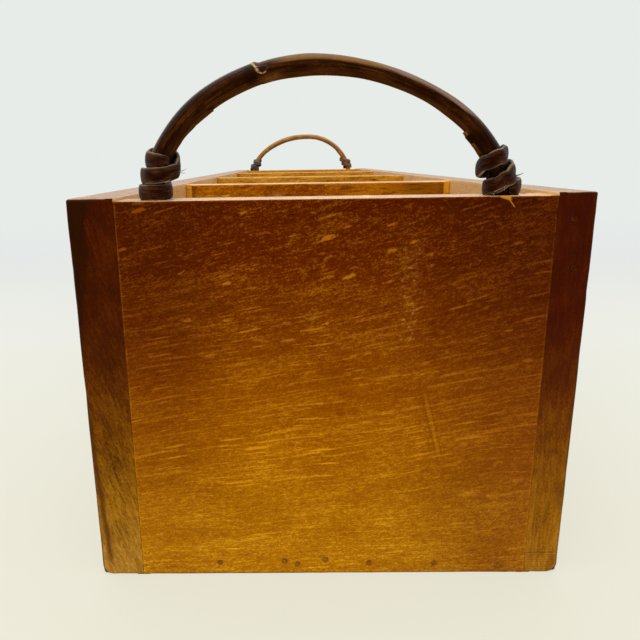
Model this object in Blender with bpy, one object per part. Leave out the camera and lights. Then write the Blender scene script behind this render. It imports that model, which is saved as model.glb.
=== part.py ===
"""Long wooden caddy with four bays and an arched cane handle on each end panel.

Metres, +Z up. The origin lies on the floor under the middle of the box. +Y runs
along the box, from the front panel to the back one, and +X runs across it.
"""

import math

import bmesh
import bpy
from mathutils import Matrix, Vector

# Box
BOX_WIDTH = 0.200
BOX_LENGTH = 0.756
BOX_HEIGHT = 0.164
LEFT_SIDE_THICKNESS = 0.018
RIGHT_SIDE_THICKNESS = 0.0145
PANEL_THICKNESS = 0.017
PANEL_SET_DOWN = 0.0011
BOTTOM_THICKNESS = 0.010

# Rounding of the boards' edges; the side boards' outer edges are worn rounder
ARRIS = 0.0008
SIDE_TOP_ARRIS = 0.0012
SIDE_FOOT_ARRIS = 0.0022
ARRIS_STEPS = 2

# Dividers, counted from the front panel; the fourth bay takes the length that is left
DIVIDER_THICKNESS = 0.015
FIRST_BAY_LENGTH = 0.146
SECOND_BAY_LENGTH = 0.154
THIRD_BAY_LENGTH = 0.194

# Gap between pieces that touch, and how far a cutter runs past the face it opens
SEAM = 0.0003
OVERRUN = 0.002

# Brads
BRAD_LENGTH = 0.028
BRAD_HEAD_DIAMETER = 0.0030
PIN_HEAD_DIAMETER = 0.0023
SHANK_DIAMETER = 0.0014
TIP_DIAMETER = 0.0005
TIP_LENGTH = 0.0025
HEAD_HEIGHT = 0.0009
HEAD_SET = 0.0002
BRAD_SIDES = 8

# Where the brads sit, as shares of the faces they are driven into
FRONT_ROW_SHARES = (
    (0.203, 0.56), (0.373, 0.62), (0.407, 0.45), (0.481, 0.66),
    (0.596, 0.50), (0.767, 0.46), (0.933, 0.35),
)
BACK_ROW_SHARES = ((0.1, 0.5), (0.3, 0.46), (0.5, 0.54), (0.7, 0.5), (0.9, 0.47))
LEFT_END_SHARES = ((0.41, 0.945), (0.37, 0.835))
RIGHT_END_SHARES = ((0.44, 0.94), (0.56, 0.825))
SIDE_HEIGHT_SHARES = (0.24, 0.76)
BOTTOM_LENGTH_SHARES = (0.14, 0.86)

# Handles; a foot inset runs from the side board's inner face to the middle of the foot
CANE_DIAMETER = 0.0074
LEFT_FOOT_INSET = 0.01325
RIGHT_FOOT_INSET = 0.01675
HANDLE_RISE = 0.0494
HANDLE_PEAK_SHARE = 0.455
SOCKET_DEPTH = 0.012
ARCH_POWER = 1.85
ARCH_POINTS = 44
CANE_BEVEL_RESOLUTION = 3
SOCKET_SIDES = 16

# Bindings, a flat strip wound round each foot of the cane
STRIP_WIDTH = 0.0052
STRIP_THICKNESS = 0.0017
STRIP_PITCH = 0.0066
STRIP_SLACK = 0.00145
STRIP_EDGE_SHARE = 0.72
BINDING_TURNS = 2.2
BINDING_TILT_SHARE = 0.30
POINTS_PER_TURN = 24

FRONT_FACE = -BOX_LENGTH / 2
BACK_FACE = BOX_LENGTH / 2
LEFT_FACE = -BOX_WIDTH / 2
RIGHT_FACE = BOX_WIDTH / 2
LEFT_WALL = LEFT_FACE + LEFT_SIDE_THICKNESS
RIGHT_WALL = RIGHT_FACE - RIGHT_SIDE_THICKNESS
PANEL_LEFT = LEFT_WALL + SEAM
PANEL_RIGHT = RIGHT_WALL - SEAM
PANEL_TOP = BOX_HEIGHT - PANEL_SET_DOWN
CANE_RADIUS = CANE_DIAMETER / 2
LEFT_FOOT = LEFT_WALL + LEFT_FOOT_INSET
RIGHT_FOOT = RIGHT_WALL - RIGHT_FOOT_INSET


def material(name, color, roughness, metallic=0.0):
    made = bpy.data.materials.new(name)
    made.use_nodes = True
    shader = made.node_tree.nodes["Principled BSDF"]
    shader.inputs["Base Color"].default_value = (*color, 1.0)
    shader.inputs["Roughness"].default_value = roughness
    shader.inputs["Metallic"].default_value = metallic
    made.diffuse_color = (*color, 1.0)
    return made


def add_object(name, data, finish):
    made = bpy.data.objects.new(name, data)
    if not data.materials:
        data.materials.append(finish)
    bpy.context.scene.collection.objects.link(made)
    return made


def cutter_collection(board):
    """The collection that holds everything cut out of one board."""
    name = board.name + "_cuts"
    if name in bpy.data.collections:
        return bpy.data.collections[name]
    made = bpy.data.collections.new(name)
    bpy.context.scene.collection.children.link(made)
    cut = board.modifiers.new("cuts", "BOOLEAN")
    cut.operation = "DIFFERENCE"
    cut.operand_type = "COLLECTION"
    cut.collection = made
    cut.solver = "EXACT"
    return made


def add_cutter(name, data, boards, matrix):
    """One cutter that opens every board in the list."""
    made = bpy.data.objects.new(name, data)
    made.matrix_world = matrix
    made.hide_render = True
    made.display_type = "WIRE"
    for board in boards:
        cutter_collection(board).objects.link(made)
    return made


def board(name, low, high, finish, outer=0):
    """A plain board between two corners. Its arrises are eased, and more so along the outer side, -1 or 1."""
    low, high = Vector(low), Vector(high)
    size = high - low
    mesh = bpy.data.meshes.new(name)
    shape = bmesh.new()
    bmesh.ops.create_cube(shape, size=1.0)
    bmesh.ops.scale(shape, vec=size, verts=shape.verts)
    widest = max(ARRIS, SIDE_TOP_ARRIS, SIDE_FOOT_ARRIS)
    weight = shape.edges.layers.float.new("bevel_weight_edge")
    for edge in shape.edges:
        middle = (edge.verts[0].co + edge.verts[1].co) / 2
        width = ARRIS
        if middle.x * outer > 0 and middle.z != 0:
            width = SIDE_TOP_ARRIS if middle.z > 0 else SIDE_FOOT_ARRIS
        edge[weight] = width / widest
    shape.to_mesh(mesh)
    shape.free()
    made = add_object(name, mesh, finish)
    made.location = (low + high) / 2
    ease = made.modifiers.new("eased_arris", "BEVEL")
    ease.width = widest
    ease.segments = ARRIS_STEPS
    ease.limit_method = "WEIGHT"
    return made


def loft(name, rings):
    """A closed mesh through rings of points, capped at its first and last ring."""
    shape = bmesh.new()
    loops = [[shape.verts.new(point) for point in ring] for ring in rings]
    count = len(loops[0])
    for lower, upper in zip(loops, loops[1:]):
        for step in range(count):
            following = (step + 1) % count
            shape.faces.new((lower[step], lower[following], upper[following], upper[step]))
    shape.faces.new(reversed(loops[0]))
    shape.faces.new(loops[-1])
    bmesh.ops.recalc_face_normals(shape, faces=shape.faces)
    mesh = bpy.data.meshes.new(name)
    shape.to_mesh(mesh)
    shape.free()
    return mesh


def circle(radius, height, sides):
    turns = [math.tau * step / sides for step in range(sides)]
    return [(radius * math.cos(turn), radius * math.sin(turn), height) for turn in turns]


def brad_mesh(name, head_diameter, clearance=0.0, outward=0.0):
    """A brad driven along +Z, its head at zero. The clearance turns it into its own hole."""
    head = head_diameter / 2 + clearance
    shank = SHANK_DIAMETER / 2 + clearance
    tip = TIP_DIAMETER / 2 + clearance
    head_base = HEAD_HEIGHT + clearance
    profile = (
        (head, -outward),
        (head, head_base),
        (shank, head_base),
        (shank, BRAD_LENGTH - TIP_LENGTH + clearance),
        (tip, BRAD_LENGTH + clearance),
    )
    mesh = loft(name, [circle(radius, height, BRAD_SIDES) for radius, height in profile])
    mesh.shade_smooth()
    mesh.set_sharp_from_angle(angle=math.radians(40))
    return mesh


def drive_brad(name, point, direction, boards, kind):
    """Sets a brad's head just under the face at this point and drills the boards for it."""
    aim = Vector((0, 0, 1)).rotation_difference(Vector(direction)).to_matrix().to_4x4()
    place = Matrix.Translation(Vector(point) + Vector(direction) * HEAD_SET) @ aim
    brad = add_object(name, kind["brad"], kind["finish"])
    brad.matrix_world = place
    add_cutter(name + "_hole", kind["hole"], boards, place)


def arch_x(height, foot, peak):
    """Where the cane's middle is across the box at a height over the panel, on the side of this foot."""
    return peak + (foot - peak) * (1 - (height / HANDLE_RISE) ** ARCH_POWER) ** (1 / ARCH_POWER)


def arch_route(peak, level):
    """Points along the cane, from the bottom of its right socket to that of its left one."""
    power = 2 / ARCH_POWER
    points = [Vector((RIGHT_FOOT, level, PANEL_TOP - SOCKET_DEPTH))]
    for step in range(ARCH_POINTS):
        angle = math.pi * step / (ARCH_POINTS - 1)
        foot = RIGHT_FOOT if math.cos(angle) > 0 else LEFT_FOOT
        across = (foot - peak) * abs(math.cos(angle)) ** power
        rise = HANDLE_RISE * max(math.sin(angle), 0.0) ** power
        points.append(Vector((peak + across, level, PANEL_TOP + rise)))
    points.append(Vector((LEFT_FOOT, level, PANEL_TOP - SOCKET_DEPTH)))
    return points


def cane(name, peak, level, panel, finish):
    """The arched cane, let into the top of its panel at both feet."""
    route = arch_route(peak, level)
    curve = bpy.data.curves.new(name, "CURVE")
    curve.dimensions = "3D"
    curve.bevel_depth = CANE_RADIUS
    curve.bevel_resolution = CANE_BEVEL_RESOLUTION
    curve.use_fill_caps = True
    spline = curve.splines.new("POLY")
    spline.points.add(len(route) - 1)
    for point, place in zip(spline.points, route):
        point.co = (*place, 1.0)
    spline.use_smooth = True
    add_object(name, curve, finish)
    depth = SOCKET_DEPTH + SEAM
    radius = CANE_RADIUS + SEAM
    socket = loft(name + "_socket", [circle(radius, height, SOCKET_SIDES) for height in (-depth, OVERRUN)])
    for foot, word in ((LEFT_FOOT, "left"), (RIGHT_FOOT, "right")):
        add_cutter(name + "_socket_" + word, socket, [panel], Matrix.Translation((foot, level, PANEL_TOP)))
    return route


def strip_section(point, tangent, outward):
    """Eight corners of the flat strip at one point of its winding."""
    up = tangent.cross(outward).normalized()
    across = up.cross(tangent).normalized()
    thick = STRIP_THICKNESS / 2
    wide = STRIP_WIDTH / 2
    corners = (
        (thick, wide * STRIP_EDGE_SHARE), (thick * STRIP_EDGE_SHARE, wide),
        (-thick * STRIP_EDGE_SHARE, wide), (-thick, wide * STRIP_EDGE_SHARE),
        (-thick, -wide * STRIP_EDGE_SHARE), (-thick * STRIP_EDGE_SHARE, -wide),
        (thick * STRIP_EDGE_SHARE, -wide), (thick, -wide * STRIP_EDGE_SHARE),
    )
    return [point + across * out + up * rise for out, rise in corners]


def binding(name, foot, peak, level, start, turning, finish):
    """The strip wound up one foot of a cane, as one unbroken band that leans over with the cane."""
    radius = CANE_RADIUS + STRIP_SLACK + STRIP_THICKNESS / 2
    first = STRIP_WIDTH / 2 + SEAM
    count = round(BINDING_TURNS * POINTS_PER_TURN) + 1
    lean = math.copysign(BINDING_TILT_SHARE, foot - peak)
    points = []
    centres = []
    for step in range(count):
        turn = step / POINTS_PER_TURN
        angle = start + turning * math.tau * turn
        height = first + STRIP_PITCH * turn
        rise = lean * turn / BINDING_TURNS * math.cos(angle)
        centre = Vector((arch_x(height, foot, peak), level, PANEL_TOP + height))
        out = Vector((math.cos(angle), math.sin(angle), rise))
        points.append(centre + out * radius)
        centres.append(centre)
    rings = []
    for step, point in enumerate(points):
        before = points[max(step - 1, 0)]
        after = points[min(step + 1, count - 1)]
        rings.append(strip_section(point, (after - before).normalized(), point - centres[step]))
    mesh = loft(name, rings)
    mesh.shade_smooth()
    mesh.set_sharp_from_angle(angle=math.radians(50))
    add_object(name, mesh, finish)
    return rings


def least_gap_to_itself(rings):
    """Smallest distance between corners of the strip that lie most of a turn apart."""
    apart = POINTS_PER_TURN * 3 // 4
    return min(
        (here - there).length
        for first, ring in enumerate(rings)
        for later in rings[first + apart:]
        for here in ring
        for there in later
    )


def least_gap_to_cane(rings, route):
    """Smallest distance from a corner of the strip to the cane's surface."""
    least = None
    for begin, end in zip(route, route[1:]):
        run = end - begin
        for ring in rings:
            for corner in ring:
                share = max(0.0, min(1.0, (corner - begin).dot(run) / run.length_squared))
                gap = (corner - begin - run * share).length - CANE_RADIUS
                least = gap if least is None else min(least, gap)
    return least


def clear_scene():
    for old in list(bpy.data.objects):
        bpy.data.objects.remove(old, do_unlink=True)
    for old in list(bpy.data.collections):
        bpy.data.collections.remove(old)


def build_box(wood):
    """The side boards, end panels, bottom board and dividers, by name."""
    inner_front = FRONT_FACE + PANEL_THICKNESS
    inner_back = BACK_FACE - PANEL_THICKNESS
    boards = {}
    boards["side_left"] = board(
        "side_left", (LEFT_FACE, FRONT_FACE, 0), (LEFT_WALL, BACK_FACE, BOX_HEIGHT), wood["side_left"], -1)
    boards["side_right"] = board(
        "side_right", (RIGHT_WALL, FRONT_FACE, 0), (RIGHT_FACE, BACK_FACE, BOX_HEIGHT), wood["side_right"], 1)
    boards["end_panel_front"] = board(
        "end_panel_front", (PANEL_LEFT, FRONT_FACE, 0), (PANEL_RIGHT, inner_front, PANEL_TOP), wood["panel"])
    boards["end_panel_back"] = board(
        "end_panel_back", (PANEL_LEFT, inner_back, 0), (PANEL_RIGHT, BACK_FACE, PANEL_TOP), wood["panel"])
    boards["bottom_board"] = board(
        "bottom_board", (PANEL_LEFT, inner_front + SEAM, 0),
        (PANEL_RIGHT, inner_back - SEAM, BOTTOM_THICKNESS), wood["bottom"])
    front = inner_front
    for number, bay in enumerate((FIRST_BAY_LENGTH, SECOND_BAY_LENGTH, THIRD_BAY_LENGTH), start=1):
        front += bay
        name = f"divider_{number}"
        boards[name] = board(
            name, (PANEL_LEFT, front, BOTTOM_THICKNESS + SEAM),
            (PANEL_RIGHT, front + DIVIDER_THICKNESS, PANEL_TOP), wood["divider"])
        front += DIVIDER_THICKNESS
    return boards


def drive_end_brads(boards, pins, brads):
    """Brads in the two end faces: a row into the bottom board and two in each side board's end."""
    width = PANEL_RIGHT - PANEL_LEFT
    faces = (
        ("front", FRONT_FACE, (0, 1, 0), FRONT_ROW_SHARES),
        ("back", BACK_FACE, (0, -1, 0), BACK_ROW_SHARES),
    )
    for word, face, direction, row in faces:
        held = [boards["end_panel_" + word], boards["bottom_board"]]
        for number, (across, up) in enumerate(row, start=1):
            point = (PANEL_LEFT + across * width, face, up * BOTTOM_THICKNESS)
            drive_brad(f"brad_{word}_row_{number}", point, direction, held, pins)
        for number, (across, up) in enumerate(LEFT_END_SHARES, start=1):
            point = (LEFT_FACE + across * LEFT_SIDE_THICKNESS, face, up * BOX_HEIGHT)
            drive_brad(f"brad_{word}_left_{number}", point, direction, [boards["side_left"]], brads)
        for number, (across, up) in enumerate(RIGHT_END_SHARES, start=1):
            point = (RIGHT_WALL + across * RIGHT_SIDE_THICKNESS, face, up * BOX_HEIGHT)
            drive_brad(f"brad_{word}_right_{number}", point, direction, [boards["side_right"]], brads)


def drive_side_brads(boards, brads):
    """Brads through the side boards into the end panels, the dividers and the bottom board."""
    sides = (("left", LEFT_FACE, (1, 0, 0)), ("right", RIGHT_FACE, (-1, 0, 0)))
    cross_boards = ("end_panel_front", "divider_1", "divider_2", "divider_3", "end_panel_back")
    for word, face, direction in sides:
        side = boards["side_" + word]
        for name in cross_boards:
            middle = boards[name].location.y
            for number, up in enumerate(SIDE_HEIGHT_SHARES, start=1):
                point = (face, middle, up * BOX_HEIGHT)
                drive_brad(f"brad_{word}_{name}_{number}", point, direction, [side, boards[name]], brads)
        for number, along in enumerate(BOTTOM_LENGTH_SHARES, start=1):
            point = (face, FRONT_FACE + along * BOX_LENGTH, BOTTOM_THICKNESS / 2)
            held = [side, boards["bottom_board"]]
            drive_brad(f"brad_{word}_bottom_{number}", point, direction, held, brads)


def build_handles(boards, finishes):
    """A cane arch on each end panel, with a strip bound round each foot."""
    span = RIGHT_FOOT - LEFT_FOOT
    ends = (
        ("front", LEFT_FOOT + span * HANDLE_PEAK_SHARE, math.radians(205), math.radians(335)),
        ("back", RIGHT_FOOT - span * HANDLE_PEAK_SHARE, math.radians(25), math.radians(155)),
    )
    for word, peak, left_start, right_start in ends:
        panel = boards["end_panel_" + word]
        level = panel.location.y
        route = cane("handle_cane_" + word, peak, level, panel, finishes["cane_" + word])
        feet = (("left", LEFT_FOOT, left_start, 1), ("right", RIGHT_FOOT, right_start, -1))
        for side, foot, start, turning in feet:
            name = f"binding_{word}_{side}"
            rings = binding(name, foot, peak, level, start, turning, finishes["binding"])
            own = least_gap_to_itself(rings)
            near = least_gap_to_cane(rings, route)
            print(f"{name}: least gap to itself {own:.5f} m, to the cane {near:.5f} m")


def main():
    clear_scene()
    finishes = {
        "side_left": material("side_left_wood", (0.115, 0.034, 0.008), 0.32),
        "side_right": material("side_right_wood", (0.150, 0.038, 0.007), 0.32),
        "panel": material("panel_wood", (0.250, 0.072, 0.008), 0.28),
        "divider": material("divider_wood", (0.300, 0.100, 0.018), 0.35),
        "bottom": material("bottom_wood", (0.420, 0.180, 0.045), 0.45),
        "cane_front": material("dark_cane", (0.050, 0.016, 0.008), 0.30),
        "cane_back": material("amber_cane", (0.330, 0.130, 0.030), 0.32),
        "binding": material("binding_strip", (0.070, 0.036, 0.024), 0.42),
        "steel": material("brad_steel", (0.060, 0.035, 0.025), 0.45, 0.8),
    }
    boards = build_box(finishes)
    pins = {
        "brad": brad_mesh("pin", PIN_HEAD_DIAMETER),
        "hole": brad_mesh("pin_hole", PIN_HEAD_DIAMETER, SEAM, OVERRUN),
        "finish": finishes["steel"],
    }
    brads = {
        "brad": brad_mesh("brad", BRAD_HEAD_DIAMETER),
        "hole": brad_mesh("brad_hole", BRAD_HEAD_DIAMETER, SEAM, OVERRUN),
        "finish": finishes["steel"],
    }
    drive_end_brads(boards, pins, brads)
    drive_side_brads(boards, brads)
    build_handles(boards, finishes)


main()
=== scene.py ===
import bisect
import functools
import math

import bpy
from mathutils import Matrix, Vector, noise


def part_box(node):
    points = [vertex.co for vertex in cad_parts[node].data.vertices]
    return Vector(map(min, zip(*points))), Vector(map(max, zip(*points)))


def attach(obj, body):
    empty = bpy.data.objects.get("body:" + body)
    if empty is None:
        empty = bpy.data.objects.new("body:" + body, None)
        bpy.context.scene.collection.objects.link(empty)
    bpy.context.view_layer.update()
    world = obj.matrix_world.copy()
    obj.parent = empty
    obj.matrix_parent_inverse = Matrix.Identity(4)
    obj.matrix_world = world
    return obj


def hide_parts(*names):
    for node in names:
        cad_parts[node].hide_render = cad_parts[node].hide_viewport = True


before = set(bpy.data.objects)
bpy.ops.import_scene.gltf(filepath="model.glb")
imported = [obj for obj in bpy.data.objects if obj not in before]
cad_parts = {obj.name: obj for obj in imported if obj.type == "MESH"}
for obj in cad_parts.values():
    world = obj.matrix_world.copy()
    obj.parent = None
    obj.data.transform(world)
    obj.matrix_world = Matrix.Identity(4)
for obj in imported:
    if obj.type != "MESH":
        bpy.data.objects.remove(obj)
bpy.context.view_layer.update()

X, Y, Z = 0, 1, 2
MM = 0.001

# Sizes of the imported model, in metres, and the power that rounds the handles' arch
PANEL_TOP = 0.1629
BOX_SIDE = 0.100
BACK_FACE = 0.378
HANDLE_LEVEL = 0.3695
LEFT_FOOT, RIGHT_FOOT = -0.06875, 0.06875
FRONT_PEAK, BACK_PEAK = -0.0061875, 0.0061875
HANDLE_RISE = 0.0494
ARCH_POWER = 1.85
SOCKET_DEPTH = 0.012


def tone(colour):
    """The shader's linear colour for three display values of 0 to 255. Any other colour stays as it is."""
    if not isinstance(colour, tuple) or len(colour) != 3:
        return colour
    shares = [value / 255 for value in colour]
    linear = [share / 12.92 if share <= 0.04045 else ((share + 0.055) / 1.055) ** 2.4 for share in shares]
    return (*linear, 1.0)


def shake(*place):
    return noise.noise(Vector(place))


def new_object(name, data):
    """A new object in the scene's own collection."""
    made = bpy.data.objects.new(name, data)
    bpy.context.scene.collection.objects.link(made)
    return made


# Node graphs, in which all lengths are in mm
BOX_HEIGHT = 164.0
PANEL_LEFT, PANEL_RIGHT = -81.7, 85.2
# A face looks along an axis once that part of its normal has passed through this range.
FACE_TURN = (0.55, 0.80)


class Value:
    """A node's output that can be reckoned with like a number. Each step adds a node."""

    def __init__(self, graph, socket):
        self.graph = graph
        self.socket = socket

    def __add__(self, other):
        return self.graph.math("ADD", self, other)

    def __sub__(self, other):
        return self.graph.math("SUBTRACT", self, other)

    def __mul__(self, other):
        return self.graph.math("MULTIPLY", self, other)

    def __abs__(self):
        return self.graph.math("ABSOLUTE", self)

    def span(self, low, high, bottom=0.0, top=1.0, course="SMOOTHSTEP"):
        """The value moved smoothly from the range low..high to bottom..top, and held at both ends."""
        names = ("Value", "From Min", "From Max", "To Min", "To Max")
        values = dict(zip(names, (self, low, high, bottom, top)))
        return self.graph.out("MapRange", values, "Result", interpolation_type=course)

    def line(self, *values):
        """As span, but in a straight line."""
        return self.span(*values, course="LINEAR")

    def band(self, low, high, soft):
        """One where the value lies between low and high, with soft borders of this width."""
        return self.span(low - soft, low + soft) * self.span(high + soft, high - soft)


class Graph:
    """A tree of shader nodes."""

    def __init__(self, owner):
        owner.use_nodes = True
        self.owner = owner
        self.tree = owner.node_tree
        self.tree.nodes.clear()

    def add(self, kind, values, **settings):
        """A new shader node. Each of its sockets named in values is set to a number or linked to a value."""
        node = self.tree.nodes.new("ShaderNode" + kind)
        for key, setting in settings.items():
            setattr(node, key, setting)
        for key, value in values.items():
            if isinstance(value, Value):
                self.tree.links.new(value.socket, node.inputs[key])
            else:
                node.inputs[key].default_value = value
        return node

    def out(self, kind, values, key=0, **settings):
        """The output of a new node that has this name or number."""
        return Value(self, self.add(kind, values, **settings).outputs[key])

    def math(self, operation, *values):
        return self.out("Math", dict(enumerate(values)), operation=operation)

    def vector(self, operation, *values):
        return self.out("VectorMath", dict(enumerate(values)), operation=operation)

    def length(self, first, second):
        """How long the diagonal over two sides is."""
        return self.math("SQRT", first * first + second * second)

    def join(self, *parts):
        return self.out("CombineXYZ", dict(enumerate(parts)))

    def split(self, vector):
        return [Value(self, part) for part in self.add("SeparateXYZ", {0: vector}).outputs]

    def texture(self, kind, vector, sizes, seed, **values):
        """A texture in units of these sizes, moved along to another part of its pattern."""
        if isinstance(sizes, float):
            sizes = (sizes,) * 3
        moved = (seed, seed * 1.7, seed * 0.6)
        place = self.vector("MULTIPLY_ADD", vector, [1 / size for size in sizes], moved)
        outputs = self.add(kind, {"Vector": place, "Scale": 1.0, **values}).outputs
        return {output.name: Value(self, output) for output in outputs}

    def noise(self, vector, sizes, seed=0.0, detail=2.0, rough=0.5):
        return self.texture("TexNoise", vector, sizes, seed, Detail=detail, Roughness=rough)["Fac"]

    def cells(self, vector, sizes, seed):
        """Distance to the nearest of scattered points, and a random number for each point."""
        outputs = self.texture("TexVoronoi", vector, sizes, seed)
        return outputs["Distance"], self.split(outputs["Color"])[0]

    def ragged(self, vector, sizes, reach, seed):
        """The vector pushed about by noise, for uneven outlines."""
        push = self.texture("TexNoise", vector, sizes, seed, Detail=2.0)["Color"]
        return self.vector("MULTIPLY_ADD", self.vector("SUBTRACT", push, (0.5, 0.5, 0.5)), reach, vector)

    def ramp(self, value, *stops):
        node = self.add("ValToRGB", {"Fac": value})
        elements = node.color_ramp.elements
        while len(elements) < len(stops):
            elements.new(0.5)
        for element, (place, colour) in zip(elements, stops):
            element.position = place
            element.color = tone(colour)
        return Value(self, node.outputs["Color"])

    def mix(self, share, first, second, blend="MIX"):
        values = {0: share, 6: tone(first), 7: tone(second)}
        return self.out("Mix", values, 2, data_type="RGBA", blend_type=blend)

    def bump(self, height, depth, strength):
        return self.out("Bump", {"Height": height, "Distance": depth * MM, "Strength": strength})

    def seen(self):
        """One for what the camera sees, straight or in gloss or glass, where the pale background shows."""
        path = self.add("LightPath", {}).outputs
        seen = Value(self, path["Is Camera Ray"])
        for name in ("Is Glossy Ray", "Is Transmission Ray"):
            seen = self.math("MAXIMUM", seen, Value(self, path[name]))
        return seen


class Finish(Graph):
    """A new material's nodes, with the places on the object, the way its faces look and a colour to paint."""

    def __init__(self, name):
        super().__init__(bpy.data.materials.new(name))
        outputs = self.add("TexCoord", {}).outputs
        self.place = self.vector("MULTIPLY", Value(self, outputs["Object"]), (1 / MM,) * 3)
        self.x, self.y, self.z = self.split(self.place)
        self.facing = self.split(Value(self, outputs["Normal"]))

    def towards(self, axis, side):
        """One on the faces that look to this side along the axis."""
        return (self.facing[axis] * side).span(*FACE_TURN)

    def leaning(self, slope):
        """Places across the box, counted along lines that lean to the left by this slope."""
        return self.x + self.z * slope

    def mark(self, name):
        """A value that the mesh carries on its vertices."""
        return self.out("Attribute", {}, "Fac", attribute_name=name)

    def paint(self, shown, share):
        """Lays another colour over the present one, as strongly as the share says."""
        self.colour = self.mix(share, self.colour, shown)

    def surface(self, rough, tint, normal, metal=0.0):
        """The finished material."""
        shader = self.out("BsdfPrincipled", {
            "Base Color": self.colour, "Roughness": rough, "Metallic": metal, "Specular Tint": tint,
            "Normal": normal,
        })
        self.add("OutputMaterial", {"Surface": shader})
        return self.owner


def tones_by_height(g, rows):
    """The dark, middle and light tones of a board, from rows of (height, dark, middle, light)."""
    if len(rows) == 1:
        return rows[0][1:]
    share = g.z.line(0, BOX_HEIGHT)
    return [g.ramp(share, *((row[0] / BOX_HEIGHT, row[key]) for row in rows)) for key in (1, 2, 3)]


# Rows of a board's tones: height, then its dark, middle and light tones. The outer rows grow lighter
# towards the bottom, partly as stain and partly as painted bounce light from the floor; the rows inside
# the box darken towards the bottom.
PANEL_TONES = (
    (8, (138, 80, 0), (174, 112, 0), (222, 168, 30)),
    (35, (134, 74, 0), (159, 99, 0), (208, 146, 20)),
    (62, (128, 65, 0), (150, 87, 0), (196, 132, 14)),
    (85, (112, 50, 0), (135, 72, 0), (176, 113, 12)),
    (110, (86, 28, 0), (112, 52, 0), (160, 99, 16)),
    (135, (64, 9, 0), (92, 33, 0), (158, 96, 14)),
    (160, (50, 1, 0), (76, 20, 0), (146, 82, 10)),
)
LEFT_END_TONES = (
    (6, (106, 66, 12), (154, 106, 28), (196, 150, 60)),
    (35, (80, 46, 1), (141, 92, 9), (184, 134, 30)),
    (60, (48, 20, 0), (101, 56, 0), (146, 96, 12)),
    (85, (30, 4, 0), (76, 33, 1), (120, 70, 8)),
    (115, (14, 0, 0), (56, 14, 1), (98, 44, 4)),
    (160, (6, 0, 0), (50, 5, 0), (88, 30, 3)),
)
RIGHT_END_TONES = (
    (6, (104, 60, 0), (142, 88, 2), (180, 130, 34)),
    (30, (94, 50, 0), (134, 82, 0), (166, 114, 10)),
    (58, (64, 24, 0), (104, 54, 0), (142, 88, 2)),
    (85, (46, 6, 0), (78, 29, 0), (110, 54, 4)),
    (115, (26, 0, 0), (54, 5, 0), (84, 26, 3)),
    (160, (16, 0, 0), (48, 2, 0), (76, 22, 3)),
)
NEAR_DIVIDER_TONES = (
    (4, (84, 38, 6), (132, 74, 10), (176, 116, 34)),
    (120, (100, 42, 2), (158, 90, 6), (208, 144, 36)),
    (160, (104, 38, 0), (166, 90, 2), (224, 156, 36)),
)
DIVIDER_TONES = (
    (4, (110, 58, 16), (168, 108, 36), (206, 152, 72)),
    (120, (130, 70, 8), (184, 118, 24), (220, 162, 60)),
    (160, (150, 84, 6), (205, 140, 28), (240, 184, 78)),
)
INNER_TONES = (
    (4, (132, 82, 36), (176, 122, 66), (208, 160, 100)),
    (110, (172, 116, 60), (214, 162, 100), (234, 190, 132)),
    (160, (200, 144, 82), (240, 194, 128), (248, 216, 160)),
)
# Tops' tones: partly their own pale colour and partly painted reflection, lightest on the near rims and
# darkest on the far one.
RIM_TONES = ((160, (122, 78, 46), (178, 134, 100), (214, 178, 146)),)
DIVIDER_RIM_TONES = ((160, (146, 88, 38), (196, 136, 72), (224, 172, 108)),)
FAR_RIM_TONES = ((160, (78, 42, 12), (124, 82, 42), (166, 120, 74)),)
PALE_RIM_TONES = ((160, (190, 130, 78), (236, 182, 128), (250, 212, 168)),)
BOTTOM_TONES = ((160, (120, 70, 26), (172, 118, 58), (204, 158, 96)),)
DARK_GRIME = (38, 12, 3)
VARNISH_TINT = (0.42, 0.11, 0.0, 1.0)


def grain_space(g, along, lean_low, lean_high):
    """Places with the grain's direction first. The grain may rise to the right, more so higher up."""
    first, level, through = g.y, g.z, g.x
    if along == "X":
        first, level, through = g.x, g.z - g.z.line(0, BOX_HEIGHT, lean_low, lean_high) * g.x, g.y
    return g.join(first, level + g.noise(g.place, 45.0, 3.0, 1.0) * 6.0, through)


def end_grain_level(g, slant, seed, high):
    """The light and dark of a board's sawn end, as steep uneven lines with pores between them."""
    place = g.join(g.leaning(slant), g.z, g.y * 0.2)
    rings = g.noise(place, (1.1, 8.0, 20), seed + 3.3, 3.0, 0.6) - 0.5
    pores = g.noise(place, (0.6, 1.3, 2.0), seed + 6.1, 2.0, 0.6) - 0.5
    cloud = g.noise(place, (10, 16, 20), seed + 1.9) - 0.5
    return (rings * 1.2 + pores * 1.1) * high.line(0, 1, 0.90, 0.55) + cloud * 0.9 + 0.5


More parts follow.
